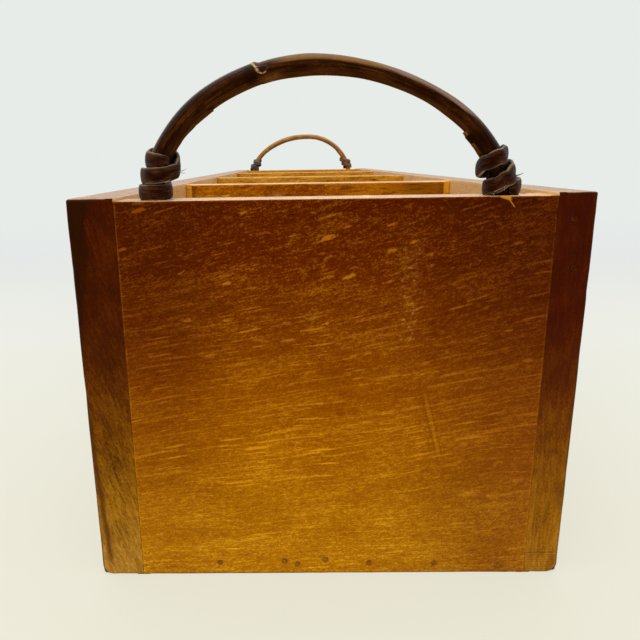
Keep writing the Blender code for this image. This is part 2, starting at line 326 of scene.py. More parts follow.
def wood(name, rows, along, lean=(0.0, 0.0), seed=0.0, faces=(), slant=0.0, flecks=1.0, cloudy=0.75,
         marks=None):
    """Stained and varnished wood: its tones change with height, partly by stain and partly by painted light,
    and its grain runs along one axis.

    faces gives other tones to the faces that look one way, as (axis, side, tones). slant is the lean of the
    sawn ends' lines. marks is a function that paints the board's own marks."""
    g = Finish(name)
    space = grain_space(g, along, *lean)
    high = g.z.span(55, 125)
    mid = g.z.band(45, 122, 20)
    blotch = g.noise(space, (34, 13, 20), seed + 1.3, 3.0, 0.55)
    mottle = g.noise(space, (4.0, 1.8, 4.0), seed + 4.1, 3.0, 0.62)
    speck = g.noise(space, (1.4, 0.75, 1.4), seed + 7.7, 2.0, 0.6)
    grit = g.noise(g.place, (0.62, 0.62, 0.50), seed + 6.4, 1.0)
    fine = g.noise(space, (10.5, 0.42, 1.6), seed + 2.9, 2.0, 0.55)
    streak = g.noise(space, (23, 0.90, 6), seed + 9.2)
    uneven = g.ragged(space, (2.2, 1.2, 2.2), (4.0, 1.6, 0.0), seed + 3.0)
    far, pick = g.cells(uneven, (8.0, 2.6, 50), seed + 5.0)
    long_far, long_pick = g.cells(space, (30, 2.2, 50), seed + 8.0)
    thin_far, thin_pick = g.cells(space, (13, 1.2, 50), seed + 11.0)
    size = pick.line(0.72, 1.0, 0.02, 0.50)
    lens = far.span(size, size * 0.30) * blotch.span(0.40, 0.58, 0.30, 1.0) * high.line(0, 1, 0.20, 1.0)
    dash = thin_far.span(0.30, 0.10) * thin_pick.span(0.35, 0.75) * 0.65
    dash = (long_far.span(0.27, 0.08) * long_pick.span(0.42, 0.78) + dash) * (mid * 0.34 + 0.34)
    level = (blotch - 0.5) * cloudy + 0.46
    for pattern, low, top in ((mottle, 0.72, 0.80), (speck, 1.05, 0.85), (grit, 0.75, 0.75),
                              (fine, 0.55, 0.30)):
        level += (pattern - 0.5) * high.line(0, 1, low, top)
    level += streak.span(0.54, 0.70) * (high.line(0, 1, 0.20, 0.10) + mid * 0.20) + (lens + dash) * flecks
    if along == "Y":
        end = abs(g.facing[Y]).span(*FACE_TURN)
        level += (end_grain_level(g, slant, seed, high) - level) * end
    tones = tones_by_height(g, rows)
    for axis, side, other in faces:
        share = g.towards(axis, side)
        # Beside a panel, a side board's inner face keeps the dark stain.
        if other is INNER_TONES and axis == X:
            share *= g.math("MAXIMUM", abs(g.y).span(361.0, 360.2), g.z.span(162.2, 163.0))
        tones = [g.mix(share, *pair) for pair in zip(tones, tones_by_height(g, other))]
    dark, middle, g.light = tones
    g.colour = g.mix(level.line(0.05, 0.5), dark, middle)
    g.paint(g.light, level.line(0.5, 1.1))
    if marks:
        marks(g)
    patchy = g.noise(g.place, 6.0, seed + 2.2, 3.0, 0.6)
    # Lighter edges: wear, and painted highlight along the top front arrises.
    g.paint(g.light, g.mark("wear_and_light") * patchy.span(0.34, 0.56, 0.15, 1.0))
    g.paint(DARK_GRIME, g.mark("grime") * patchy.span(0.25, 0.60, 0.55, 1.0))
    rough = (blotch * 0.6 + speck * 0.4).line(0.3, 0.7, 0.28, 0.44)
    return g.surface(rough, VARNISH_TINT, g.bump(level * 0.5 + speck * 0.35, 0.10, 0.6))


def panel_marks(g):
    """The upright scuff, the short scratch, the golden chip, painted shade on the front panel's sides and a
    painted shadow on its rim round the handle's feet.
    """
    front = g.towards(Y, -1)
    # Painted shade: the panel's right part, and its left part higher up, are darkened.
    left = g.x.span(-32, -66) * g.z.line(20, 110, 0.15, 0.80)
    shade = g.x.span(12, 80) * g.z.line(20, 150, 0.74, 0.98) + left
    g.colour = g.mix(shade * front, g.colour, (0.50, 0.34, 0.35, 1.0), "MULTIPLY")
    ragged = g.noise(g.place, (2.2, 2.2, 1.6), 12.0, 4.0, 0.7)
    middle = g.x + (g.noise(g.place, 20.0, 15.0) - 0.5) * 6
    scuff = middle.band(27.5, 35.5, 2.4) * g.z.band(104, 150, 10) * front
    g.paint((138, 84, 22), scuff * ragged.span(0.44, 0.66, 0.0, 0.34))
    g.paint((202, 138, 62), scuff * ragged.span(0.58, 0.70, 0.0, 0.50))
    skew = g.leaning(0.26) + (ragged - 0.5) * 0.6
    tall = g.z.band(55.5, 84, 4) * front
    scratch = (98, 34, 0)
    for low, high, share, shown in ((59.0, 59.5, 0.44, scratch), (60.0, 61.2, 0.20, g.light),
                                    (61.6, 62.1, 0.40, scratch)):
        g.paint(shown, skew.band(low, high, 0.4) * tall * share)
    chip = g.x.band(63.6, 67.6, 0.7) * (g.z + g.x * 0.30).span(181, 182)
    tail = g.leaning(0.80).band(196.05, 196.45, 0.2) * g.z.band(158.8, 162, 0.5)
    g.paint((206, 140, 30), g.math("MAXIMUM", chip, tail) * 0.75)
    rim = g.facing[Z].span(0.3, 0.8)
    # Painted shadow of the bindings on the rim's front edge round the handle's feet.
    g.paint((60, 30, 10), rim * abs(g.x).band(60.5, 72.5, 1.2) * g.y.span(-376.2, -375) * 0.75)
    g.paint((150, 108, 62), rim * g.x.span(-50, -68) * 0.55)
    g.paint((214, 160, 76), rim * g.x.span(78.2, 79.4) * 0.8)


def back_panel_marks(g):
    """A golden stain round the far handle's right foot, down the panel's inner face."""
    wander = (g.noise(g.place, 3.0, 4.0, 2.0, 0.6) - 0.5) * 4
    stain = (g.x + wander).band(66.5, 78.3, 1.2) * (g.z + wander).span(154.5, 157.5) * g.y.span(370, 369)
    g.paint((206, 146, 28), stain * 0.85)


def stained_tops(g):
    """Dark brown stains along the upper part of a divider's near face."""
    stains = g.noise(g.place, (14, 20, 1.6), 7.0, 3.0, 0.6)
    g.paint((96, 42, 2), stains.span(0.53, 0.68) * g.z.span(150, 156) * g.towards(Y, -1) * 0.65)


def divider_marks(g):
    """The near divider: stains, a pale scuff, and at both ends an unstained strip with painted corner shade
    beside it.
    """
    front = g.towards(Y, -1)
    g.paint((196, 122, 10), g.x.span(-10, 60, 0.0, 0.55) * front)
    out = abs(g.x - (PANEL_LEFT + PANEL_RIGHT) / 2)
    end = (PANEL_RIGHT - PANEL_LEFT) / 2
    # Painted shade darkening the face towards the corners, beside the unstained strips.
    g.paint((64, 22, 0), out.span(end - 9.5, end - 4) * out.span(end - 3, end - 4) * front * 0.45)
    g.paint((226, 162, 44), out.span(end - 3.8, end - 3) * front * 0.9)
    g.paint((78, 40, 4), g.x.band(56, 79, 6) * front * 0.50)
    scuff = g.leaning(0.8).band(98.5, 104.5, 3.5) * g.z.band(146, 156, 3)
    g.paint((206, 150, 92), scuff * front * 0.50)
    stained_tops(g)


def right_end_marks(g):
    """The dark blot near the right side's foot and the sawn lines across its lowest part."""
    front = g.towards(Y, -1)
    wander = (g.noise(g.place, (3, 3, 5), 9.0, 3.0, 0.6) - 0.5) * 4
    blot = (g.x + wander).band(96.2, 99, 1.5) * (g.z + wander).band(31, 43, 3)
    saw = g.math("SINE", g.z * 5.2).span(0.2, 1.0) * g.z.span(12.5, 11)
    lines = g.x.band(87.8, 88.1, 0.2) * g.z.band(8, 46, 2)
    lines += g.z.band(9.8, 10.2, 0.2) + g.z.band(57.2, 58.6, 1.2) * 0.5
    g.paint(g.light, g.x.band(85.3, 87.6, 0.3) * g.z.band(8, 46, 3) * front * 0.16)
    g.paint((52, 22, 3), (blot * 0.42 + saw * 0.28 + lines * 0.40) * front)


def left_end_marks(g):
    """Painted shade as a near-black band down the outer edge of the left side's sawn end, and a dark wave
    near its foot.
    """
    front = g.towards(Y, -1)
    wander = g.noise(g.place, (4, 4, 12), 5.0, 3.0, 0.6) - 0.5
    reach = g.z.line(100, 160, 0.0, 7.5) + wander * 8
    # Painted shade: the outer edge darkens to near black higher up.
    dark = (g.x + BOX_SIDE / MM).span(reach + 2.6, reach - 1.8)
    g.paint((14, 3, 1), dark * front * g.z.span(85, 115, 0.0, 0.85))
    wave = (g.leaning(0.045) + wander * 3.5).band(-96.9, -94.6, 1.1) * g.z.band(6, 74, 6)
    g.paint((66, 30, 4), wave * front * 0.80)


# Boards with worn edges
EDGE_LINES = tuple(step * MM for step in (0.0, 0.18, 0.42, 0.75, 1.1, 1.6, 2.3, 3.4))
BRAD_LINES = tuple(step * MM for step in (-2.1, -1.6, -1.15, -0.6, 0.0, 0.6, 1.15, 1.6, 2.1))
LINE_SPACING = 0.0075
LINE_GAP = 0.00009
# How far an end of a brad may lie from a board's face and still count as its head, in metres.
FLUSH = 0.0006
WAVE_DEPTH = 0.00012
WAVE_EDGE = 0.004
HOLE_DEPTH = 0.00035
HOLE_DIRT = 0.35
SHARP_REACH = 2.5 * MM
SHARP_SHARE = 0.14
SNUG = 0.0002
BRADS = sorted(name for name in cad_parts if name.startswith("brad_"))


def grid_lines(low, high, centres):
    """Places of the grid's lines along one axis: close at both ends and at each brad, wider between."""
    steps = [step for step in EDGE_LINES if step < (high - low) / 2]
    marks = {round(place, 7) for step in steps for place in (low + step, high - step)}
    for centre in centres:
        marks |= {round(centre + step, 7) for step in BRAD_LINES if low + MM < centre + step < high - MM}
    filled = [min(marks)]
    for here in sorted(marks):
        start = filled[-1]
        if here - start >= LINE_GAP:
            count = math.ceil((here - start) / LINE_SPACING)
            filled += [start + (here - start) * step / count for step in range(1, count)]
            filled.append(here)
    return filled


def brad_heads(node):
    """For each brad driven into the board: the axis and side that it enters by, its middle and its head."""
    low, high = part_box(node)
    found = []
    for name in BRADS:
        near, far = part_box(name)
        middle = (near + far) / 2
        size = far - near
        axis = max(range(3), key=lambda k: size[k])
        others = [k for k in range(3) if k != axis]
        inside = all(low[k] < middle[k] < high[k] for k in others)
        for end in (near[axis], far[axis]):
            for face, side in ((low[axis], -1), (high[axis], 1)):
                if inside and abs(end - face) < FLUSH:
                    found.append((axis, side, middle, max(size[k] for k in others) / 2))
    return found


def smooth(share):
    """The share held between nothing and one, with a soft start and end."""
    share = max(0.0, min(1.0, share))
    return share * share * (3 - 2 * share)


def falloff(distance, inner, outer):
    """One within the inner distance, falling smoothly to nothing at the outer one."""
    return smooth((outer - distance) / (outer - inner))


def within(value, low, high, inner, outer):
    """One well between low and high, falling to nothing round both of them."""
    return min(falloff(low - value, inner, outer), falloff(value - high, inner, outer))


def distance_along(axis, first, second):
    """How far apart two places are when seen along an axis."""
    return math.dist([first[k] for k in range(3) if k != axis], [second[k] for k in range(3) if k != axis])


def new_mesh(name, vertices, faces, labels=(), rows=()):
    """A mesh whose vertices each carry a row of values under these labels."""
    mesh = bpy.data.meshes.new(name)
    mesh.from_pydata(vertices, [], faces)
    for label, values in zip(labels, zip(*rows)):
        mesh.attributes.new(label, "FLOAT", "POINT").data.foreach_set("value", values)
    return mesh


def add_piece(mesh, finish, slot, *nodes):
    """A new piece of the object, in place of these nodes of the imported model."""
    mesh.materials.append(finish)
    mesh.shade_smooth()
    piece = new_object(mesh.name, mesh)
    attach(piece, "root")
    if nodes:
        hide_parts(*nodes)


def edge_mark(place, corners, edges):
    """How strongly these edges of a board mark a place on it."""
    shares = [0.0]
    for first, first_side, second, second_side, width, strength in edges:
        away = math.hypot(place[first] - corners[first_side][first],
                          place[second] - corners[second_side][second])
        shares.append(strength * falloff(away, width * 0.45, width))
    return max(shares)


def worn_board(name, node, finish, slot, arris, seed, wear_and_light=(), grime=(), dents=(), sharp=(), snug=0.0):
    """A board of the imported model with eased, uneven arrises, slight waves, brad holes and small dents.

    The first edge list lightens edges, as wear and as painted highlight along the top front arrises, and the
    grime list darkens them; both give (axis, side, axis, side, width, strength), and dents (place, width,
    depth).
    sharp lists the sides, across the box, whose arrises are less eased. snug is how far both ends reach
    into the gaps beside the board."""
    low, high = (Vector(corner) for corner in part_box(node))
    low.x -= snug
    high.x += snug
    corners = {-1: low, 1: high}
    heads = brad_heads(node)
    lines = []
    for axis in range(3):
        centres = [round(middle[axis], 6) for driven, side, middle, head in heads if driven != axis]
        centres += [round(place[axis], 6) for place, width, depth in dents]
        lines.append(grid_lines(low[axis], high[axis], centres))
    last = [len(line) - 1 for line in lines]
    shift = Vector((seed * 3.1, seed * 1.7, seed * 2.3))
    vertices, marks = [], []

    @functools.cache
    def vertex(key):
        """The number of the vertex where these lines of the grid cross. It is made when first asked for."""
        place = Vector([lines[k][key[k]] for k in range(3)])
        sides = [(key[k] == last[k]) - (key[k] == 0) for k in range(3)]
        uneven = 1.0 + 0.45 * noise.noise(place * 60 + shift) + 0.35 * noise.noise(place * 260 + shift)
        radius = min(max(uneven, 0.25), 1.9) * arris
        if any(abs(place.x - corners[side].x) < SHARP_REACH for side in sharp):
            radius *= SHARP_SHARE
        inner = Vector([min(max(place[k], low[k] + radius), high[k] - radius) for k in range(3)])
        point = inner + (place - inner).normalized() * radius
        for axis in range(3):
            if sides[axis]:
                away = min(min(point[k] - low[k], high[k] - point[k]) for k in range(3) if k != axis)
                wave = 0.5 + 0.5 * noise.noise(point * 14 + shift)
                point[axis] -= sides[axis] * WAVE_DEPTH * wave * falloff(WAVE_EDGE - away, 0.0, WAVE_EDGE)
        dirt = 0.0
        for axis, side, middle, head in heads:
            if sides[axis] == side:
                away = distance_along(axis, point, middle)
                point[axis] -= side * HOLE_DEPTH * falloff(away, head + 0.05 * MM, head + 0.40 * MM)
                away = distance_along(axis, place, middle)
                dirt = max(dirt, HOLE_DIRT * falloff(away, head + 0.10 * MM, head + 0.60 * MM))
        for centre, width, depth in dents:
            away = (point - Vector(centre)).length
            if away < width:
                push = Vector([((low[k] + high[k]) / 2 - point[k]) if sides[k] else 0.0 for k in range(3)])
                point += push.normalized() * depth * falloff(away, 0.0, width)
        vertices.append(point)
        marks.append((edge_mark(place, corners, wear_and_light), max(edge_mark(place, corners, grime), dirt)))
        return len(vertices) - 1

    faces = []
    for axis in range(3):
        first, second = (axis + 1) % 3, (axis + 2) % 3
        for end, order in ((0, -1), (last[axis], 1)):
            for i in range(last[first]):
                for j in range(last[second]):
                    face = []
                    for a, b in ((i, j), (i + 1, j), (i + 1, j + 1), (i, j + 1)):
                        key = [0, 0, 0]
                        key[axis], key[first], key[second] = end, a, b
                        face.append(vertex(tuple(key)))
                    faces.append(face[::order])
    add_piece(new_mesh(name, vertices, faces, ("wear_and_light", "grime"), marks), finish, slot, node)


def build_boards():
    pale = (Z, 1, PALE_RIM_TONES)
    panel = wood("stained_panel", PANEL_TONES, "X", (0.05, 0.27), 0.0, (pale, (Y, 1, INNER_TONES)),
                 marks=panel_marks)
    back_panel = wood("stained_back_panel", PANEL_TONES, "X", (-0.04, 0.10), 21.0,
                      ((Z, 1, FAR_RIM_TONES), (Y, -1, DIVIDER_TONES)), marks=back_panel_marks)
    near_divider = wood("stained_near_divider", NEAR_DIVIDER_TONES, "X", (0.05, 0.12), 59.0, (pale,),
                        cloudy=1.5, marks=divider_marks)
    dividers = wood("stained_divider", DIVIDER_TONES, "X", (0.05, 0.12), 83.0, ((Z, 1, DIVIDER_RIM_TONES),),
                    cloudy=1.3, marks=stained_tops)
    bottom = wood("pale_bottom", BOTTOM_TONES, "Y", seed=71.0, flecks=0.3)
    for word, out, seed, tones, pattern, slant, marks in (
            ("left", -1, 1.0, LEFT_END_TONES, 33.0, 0.30, left_end_marks),
            ("right", 1, 2.0, RIGHT_END_TONES, 47.0, 0.0, right_end_marks)):
        faces = ((Z, 1, RIM_TONES), (X, -out, INNER_TONES), (Y, -1, tones), (Y, 1, tones))
        finish = wood(f"stained_{word}_side", PANEL_TONES, "Y", seed=pattern, faces=faces, slant=slant,
                      flecks=0.6, marks=marks)
        edges = [(X, out, Z, -1, 0.0012, 0.8)]
        for end in (-1, 1):
            edges += [(X, out, Y, end, 0.0010, 0.8), (Z, -1, Y, end, 0.0008, 0.7),
                      (Z, 1, Y, end, 0.0008, 0.6)]
        corners = [((out * BOX_SIDE, end * BACK_FACE, 0.0), 0.0045, 0.0011) for end in (-1, 1)]
        worn_board("worn_side_" + word, "side_" + word, finish, "side_wood", 0.0010, seed,
                   wear_and_light=[(X, -out, Z, 1, 0.0012, 0.5)], grime=edges, dents=corners, sharp=(-out,))
    notch = ((0.0778, -0.3625, PANEL_TOP), 0.0024, 0.0012)
    for word, finish, out, seed, dents in (("front", panel, -1, 3.0, (notch,)),
                                           ("back", back_panel, 1, 4.0, ())):
        worn_board("worn_panel_" + word, "end_panel_" + word, finish, "panel_wood", 0.0005, seed,
                   wear_and_light=[(X, -1, Y, out, 0.0007, 0.24), (X, 1, Y, out, 0.0008, 0.12),
                         (Z, 1, Y, out, 0.0008, 0.35)],
                   grime=[(Z, -1, Y, out, 0.0009, 0.7)], dents=dents, sharp=(-1, 1), snug=SNUG)
    for number, finish in ((1, near_divider), (2, dividers), (3, dividers)):
        worn_board(f"worn_divider_{number}", f"divider_{number}", finish, "divider_wood", 0.0009,
                   5.0 + number, wear_and_light=[(Z, 1, Y, -1, 0.0012, 0.5)], sharp=(-1, 1), snug=SNUG)
    worn_board("worn_bottom", "bottom_board", bottom, "bottom_wood", 0.0008, 9.0)


# Brads
HIDDEN_BRADS = ("brad_front_left", "brad_front_right", "brad_back_left", "brad_back_right")


def brad_finish(name, dark, middle, light, metal):
    g = Finish(name)
    rust = g.noise(g.place, 0.7, 2.0, 4.0, 0.65)
    g.colour = g.ramp(rust.line(0.3, 0.7), (0.0, dark), (0.5, middle), (1.0, light))
    return g.surface(rust.line(0.3, 0.7, 0.4, 0.75), VARNISH_TINT, g.bump(rust, 0.1, 0.6), metal)


def dress_brads():
    """Rusty brads, and those in the sides' ends under the stain, where they hardly show."""
    rusty = brad_finish("aged_brad_steel", (88, 44, 6), (128, 76, 16), (172, 112, 40), 0.10)
    stained = brad_finish("stained_brad_steel", (30, 3, 0), (50, 8, 0), (82, 30, 4), 0.0)
    for name in BRADS:
        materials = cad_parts[name].data.materials
        materials.clear()
        materials.append(stained if name.startswith(HIDDEN_BRADS) else rusty)


# Cane handles
CANE_SIDES = 40
CANE_STATIONS = 300
ARCH_STEPS = 1200
# The way round a cane, and round its knot, in mm
CANE_GIRTH, KNOT_GIRTH = 23.5, 24.5


def arch_point(share, peak, level):
    """A place on the arch, by its share of the half turn from the right foot to the left one."""
    power = 2 / ARCH_POWER
    angle = math.pi * share
    foot = RIGHT_FOOT if math.cos(angle) > 0 else LEFT_FOOT
    across = (foot - peak) * abs(math.cos(angle)) ** power
    rise = HANDLE_RISE * max(math.sin(angle), 0.0) ** power
    return Vector((peak + across, level, PANEL_TOP + rise))


def arch_stations(peak, level):
    """Evenly spaced places along the cane from its right socket to its left one."""
    arch = [arch_point(step / ARCH_STEPS, peak, level) for step in range(ARCH_STEPS + 1)]
    drop = Vector((0, 0, -SOCKET_DEPTH))
    dense = [arch[0] + drop, *arch, arch[-1] + drop]
    lengths = [0.0]
    for before, after in zip(dense, dense[1:]):
        lengths.append(lengths[-1] + (after - before).length)
    stations = []
    for step in range(CANE_STATIONS + 1):
        wanted = lengths[-1] * step / CANE_STATIONS
        spot = min(bisect.bisect_left(lengths, wanted, 1), len(dense) - 1)
        share = (wanted - lengths[spot - 1]) / (lengths[spot] - lengths[spot - 1])
        stations.append(dense[spot - 1].lerp(dense[spot], share))
    return stations


def beside(places, step):
    """The places before and after this one. At an end of the row, it stands in for the missing one."""
    return places[max(step - 1, 0)], places[min(step + 1, len(places) - 1)]


def tube_faces(base, rings, sides):
    """The faces of a tube through rings of vertices, the first with this number, with a cap at both ends."""
    last = base + (rings - 1) * sides
    faces = []
    for start in range(base, last, sides):
        for side in range(sides):
            here, there = start + side, start + (side + 1) % sides
            faces.append((here, there, there + sides, here + sides))
    return faces + [tuple(range(base, base + sides))[::-1], tuple(range(last, last + sides))]


def swept(name, rings, labels, rows):
    """A tube through rings of equal counts of points."""
    vertices = [point for ring in rings for point in ring]
    return new_mesh(name, vertices, tube_faces(0, len(rings), len(rings[0])), labels, rows)


def knot_eye(g, way, round_about, at, level):
    """The scar beside the near knot: a dark eye with a torn pale rim, a black patch and a golden one."""
    near = g.y.span(0.3 - HANDLE_LEVEL / MM, -0.5 - HANDLE_LEVEL / MM)
    torn = g.noise(g.place, 0.9, 31.0, 2.0, 0.6)
    along = way - at
    across = round_about - level
    away = g.length(along * 0.72, across) + (torn - 0.5) * 0.7
    golden = along.band(-6, 1, 2.2) * across.band(2.8, 6.2, 1.4)
    black = along.band(2.8, 6.8, 1.2) * across.band(-3.6, 4.5, 1.2)
    rim = away.band(1.3, 1.6, 0.3) * (across + along).span(-0.8, 0.8, 0.05, 1.0)
    chip = (along + across * 0.35).band(1.3, 2.1, 0.3) * across.band(-5.5, 0.5, 0.6)
    g.paint((104, 66, 24), golden * near * torn.span(0.36, 0.60, 0.35, 0.80))
    g.paint((4, 1, 0), black * near * 0.85)
    g.paint((22, 8, 3), away.span(1.4, 1.0) * near)
    g.paint((186, 156, 106), g.math("MAXIMUM", rim, chip) * torn.span(0.34, 0.50, 0.35, 0.95) * near)


def cane_material(name, tones, tint, seed, eye=()):
    """Smoked and varnished cane: lengthwise fibres, gold on the crown, partly wear and partly painted
    highlight, painted light on the inner under side, and a painted sheen.

    tones are dark, middle, light, the under side's painted light, the crown's gold and the painted sheen's."""
    dark, middle, light, underside_light, gold, sheen = tones
    g = Finish(name)
    way = g.mark("way") * (1 / MM)
    round_about = g.mark("about")
    threads = g.join(way, round_about * CANE_GIRTH, 0.0)
    fibre = g.noise(threads, (20, 0.45, 1), seed, 3.0, 0.6)
    cloud = g.noise(threads, (12, 4.0, 1), seed + 4.0, 3.0, 0.55)
    spots = g.noise(threads, (1.2, 0.8, 1), seed + 8.0, 2.0, 0.6)
    level = fibre * 0.85 + cloud * 0.65 + spots * 0.25
    g.colour = g.ramp(level.line(0.60, 1.12), (0.0, dark), (0.55, middle), (1.0, light))
    # Painted light on the under side.
    g.paint(underside_light, g.mark("underside_light") * cloud.span(0.35, 0.6, 0.35, 0.95))
    g.paint(gold, g.mark("crown") * level.span(0.62, 0.98, 0.45, 0.95))
    g.paint(sheen, g.mark("sheen") * fibre.span(0.30, 0.62, 0.45, 0.90))
    # Painted shade: the hollows behind the sheaths are painted near black.
    g.paint((4, 1, 0), g.mark("hollow_shade"))
    if eye:
        knot_eye(g, way, round_about * KNOT_GIRTH, *eye)
    return g.surface(cloud.line(0.3, 0.7, 0.24, 0.40), tint, g.bump(fibre * 0.7 + spots * 0.3, 0.30, 0.8))


def reading(table, place):
    """The table's other columns, in metres, read smoothly at a place in its first column."""
    for here, there in zip(table, table[1:]):
        if place <= there[0]:
            share = smooth((place - here[0]) / (there[0] - here[0]))
            return [(low + (high - low) * share) * MM for low, high in zip(here[1:], there[1:])]
    return [value * MM for value in table[-1][1:]]


# Each cane's run: way from its right socket, how far its middle lies outside the arch, and its radius, in mm.
FRONT_RUN = (
    (0, -0.90, 3.60), (30, -1.32, 3.42), (50, -1.20, 3.56), (66, -1.08, 3.24), (86, -1.05, 3.30),
    (114, -1.35, 3.94), (128.6, -1.02, 3.86), (130.4, -0.60, 4.08), (156, -0.07, 4.22),
    (174, -0.12, 3.97), (208.3, -0.50, 3.72),
)
BACK_RUN = (
    (0, 4.0, 3.60), (12, 4.0, 3.60), (20, 3.2, 3.60), (30, 2.2, 3.65), (40, 2.05, 3.65), (48, 2.45, 3.42),
    (58, 2.33, 3.50), (70, 2.10, 3.52), (80, 1.66, 3.46), (89, 0.86, 3.46), (98, 0.10, 3.47),
    (106, 0.16, 3.57), (118, 0.55, 3.72), (134, 0.82, 3.70), (148, 1.05, 3.68), (160, 1.60, 3.40),
    (170, 2.15, 3.40), (180, 2.8, 3.50), (192, 3.9, 3.55), (208.3, 4.1, 3.55),
)


def cane_path(peak, level, run):
    """Places along a cane from its right socket to its left: way, middle, outward direction and radius."""
    stations = arch_stations(peak, level)
    path = []
    total = 0.0
    for step, place in enumerate(stations):
        before, after = beside(stations, step)
        total += (place - before).length
        outward = Vector((0, 1, 0)).cross(after - before).normalized()
        shift, radius = reading(run, total / MM)
        path.append((total, place + outward * shift, outward, radius))
    return path


CANE_MARKS = ("way", "about", "underside_light", "hollow_shade", "crown", "sheen")


def build_cane(name, node, path, finish, slot, seed, knot, crown, hollows):
    """A bent cane with its knot, its crown of wear and painted highlight, and the hollows behind the sheaths
    on its inner side, painted black as shade.

    knot is (way, step in radius, width), crown (start, end), hollows (start, end, rise, half width)."""
    where, knot_rise, knot_width = knot
    rings, rows = [], []
    for total, place, outward, thick in path:
        base = thick + 0.00008 * shake(total * 90, seed, 0)
        wear_and_light = within(total, *crown, -0.008, 0.002)
        lit = min(falloff(total, 0.074, 0.094), falloff(0.044 - total, -0.007, 0.006))
        ring = []
        for side in range(CANE_SIDES):
            share = side / CANE_SIDES
            angle = math.tau * share
            up, over = math.cos(angle), math.sin(angle)
            top = min(angle, math.tau - angle)
            radius = base * (1 + 0.010 * shake(total * 30, up, over + seed))
            radius += 0.00005 * shake(total * 18, up * 7, over * 7 + seed)
            slanted = abs(total - where - 0.0010 * math.cos(angle - 0.6))
            radius += knot_rise * falloff(slanted, knot_width * 0.25, knot_width) * (0.5 + 0.5 * up)
            # The hollows behind the sheaths are dented in and painted black as shade.
            hollow_shade = 0.0
            for start, end, rise, wide in hollows:
                inside = within(total, start, end, -0.0020, 0.0) * falloff(math.pi - top, wide * 0.55, wide)
                hollow_shade = max(hollow_shade, inside)
                radius += rise * inside
            ring.append(place + outward * (up * radius) + Vector((0, over * radius, 0)))
            # The crown's gold is partly wear and partly painted highlight; the sheen is a painted highlight.
            gold = wear_and_light * falloff(abs(top - 0.80), 0.25, 0.50)
            sheen = falloff(top, 0.40 + 0.64 * lit, 0.70 + 0.56 * lit)
            sheen *= 0.62 + 0.30 * lit - 0.27 * wear_and_light * (1 - lit)
            # The under side's share, which takes painted light.
            underside_light = 0.85 * falloff(math.pi - top, 0.4, 1.25)
            rows.append((total, min(share, 1 - share), underside_light, hollow_shade, gold, sheen))
        rings.append(ring)
    add_piece(swept(name, rings, CANE_MARKS, rows), finish, slot, node)


def middle_at(path, side, height):
    """Where a cane's middle is across the box at a height over the panel, on its right or left leg."""
    places = [station[1] for station in path][::side]
    level = PANEL_TOP + height
    for before, after in zip(places, places[1:]):
        if after.z >= level:
            return before.lerp(after, (level - before.z) / (after.z - before.z)).x


STRIP_THICKNESS = 0.0022
# Around a strip: outward as a share of its thickness, and across as a share of its width.
STRIP_SECTION = (
    (0.0, 0.50), (0.24, 0.475), (0.37, 0.39), (0.46, 0.24), (0.50, 0.08), (0.50, -0.08), (0.46, -0.24),
    (0.37, -0.39), (0.24, -0.475), (0.0, -0.50), (-0.28, -0.45), (-0.38, -0.32), (-0.40, -0.12),
    (-0.40, 0.12), (-0.38, 0.32), (-0.28, 0.45),
)
STRIP_STEP = 6
STRIP_DEPTH = 0.0062
# A strip's width, in mm
STRIP_WIDTH = 5.5
# Each strip's winding: direction in degrees, height over the panel and reach from the cane's middle, in mm.
# Directions grow from the right over the back to the left on the front handle, and 270 is its near side.
FRONT_LEFT_WINDING = (
    (150, 2.9, 4.2), (180, 3.0, 4.4), (225, 2.9, 4.7), (270, 2.9, 5.2), (315, 2.95, 5.8), (360, 3.2, 6.5),
    (405, 4.6, 6.2), (450, 6.0, 5.4), (495, 7.9, 4.9), (540, 9.1, 4.5), (585, 9.1, 4.8), (630, 9.1, 5.8),
    (675, 9.6, 7.4), (705, 10.6, 8.1), (735, 12.9, 7.6), (765, 15.2, 7.0), (790, 16.4, 6.2), (810, 16.7, 5.6),
    (855, 16.6, 4.8), (900, 15.5, 4.4), (945, 14.9, 5.0), (990, 14.3, 5.2), (1020, 13.6, 5.2),
    (1050, 12.9, 5.2),
)
FRONT_RIGHT_WINDING = (
    (278, 2.5, 4.5), (315, 2.8, 5.0), (360, 3.7, 5.5), (405, 4.0, 5.2), (450, 3.1, 4.9), (495, 2.8, 6.2),
    (540, 2.8, 7.2), (585, 3.6, 6.8), (630, 6.3, 5.9), (675, 8.8, 4.8), (720, 10.3, 4.0), (765, 10.4, 4.4),
    (810, 9.6, 5.5), (855, 9.1, 7.3), (900, 9.7, 8.2), (945, 12.1, 7.5), (990, 14.2, 6.1), (1035, 15.2, 4.7),
    (1080, 15.6, 3.9), (1112, 16.0, 4.0),
)
BACK_LEFT_WINDING = (
    (180, 1.6, 6.2), (270, 1.8, 5.2), (360, 2.6, 5.6), (450, 4.6, 5.2), (540, 6.6, 5.8), (630, 7.8, 5.6),
    (720, 9.2, 7.6), (810, 11.6, 5.6), (900, 13.6, 4.8), (990, 14.7, 5.2), (1050, 15.3, 6.0),
)
BACK_RIGHT_WINDING = (
    (180, 3.8, 6.0), (270, 4.4, 5.2), (360, 5.4, 5.6), (450, 7.2, 5.2), (540, 9.2, 7.0), (630, 10.2, 5.6),
    (720, 11.4, 5.8), (810, 13.2, 5.2), (900, 15.2, 7.0), (960, 16.2, 5.6),
)
# Marks on a strip's vertices: way, place across, the painted highlight on its edges and its inner side.
STRIP_MARKS = ("way", "across", "edge_highlight", "inside")


